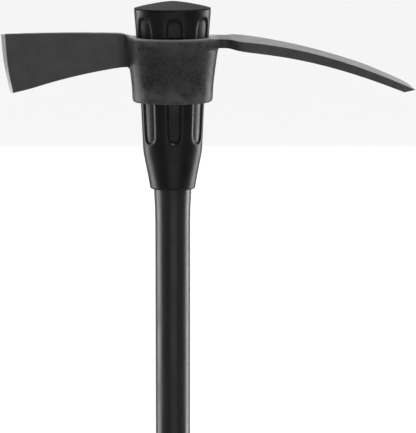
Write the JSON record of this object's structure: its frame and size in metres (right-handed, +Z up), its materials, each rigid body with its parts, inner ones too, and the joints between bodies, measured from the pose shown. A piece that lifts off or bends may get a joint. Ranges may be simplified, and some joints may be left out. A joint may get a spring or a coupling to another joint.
{
  "type": "cutter mattock",
  "caption": "Long-handled digging tool: a forged head with a vertical cutting blade and a horizontal hoe blade slips over the fluted, tapered end of a round synthetic handle.",
  "frame": {"origin": "centre of the flat face of the butt, at the handle's lower end", "axes": "+Z runs up the handle's axis to the domed end, +X points along the adze (hoe) blade and -X along the cutter blade, Y is across the handle"},
  "size_m": [0.4085, 0.0881, 0.915],
  "materials": {
    "forged_steel": "black oxide-like coating, satin, with the cutter's bevels and the adze's edge ground bare",
    "moulded_nylon": "black glass-filled nylon, satin",
    "cap_plastic": "black moulded plastic, finely textured",
    "epoxy": "cured adhesive, hidden",
    "fibreglass": "pultruded glass-fibre rod, hidden",
    "jacket_plastic": "black extruded jacket, smooth and half gloss",
    "grip_rubber": "black soft rubber, ribbed",
    "butt_plastic": "black moulded plastic, satin"
  },
  "bodies": {
    "handle": {"eye_sleeve": "moulded_nylon", "end_cap": "cap_plastic", "core_bond": "epoxy", "core_rod": "fibreglass", "shaft_jacket": "jacket_plastic", "grip_sleeve": "grip_rubber", "butt_cap": "butt_plastic"},
    "head": {"mattock_head": "forged_steel"}
  },
  "joints": [
    {"name": "head_slide", "type": "slide", "parent": "handle", "child": "head", "axis": [0, 0, 1], "range_m": [-0.804, 0]}
  ]
}
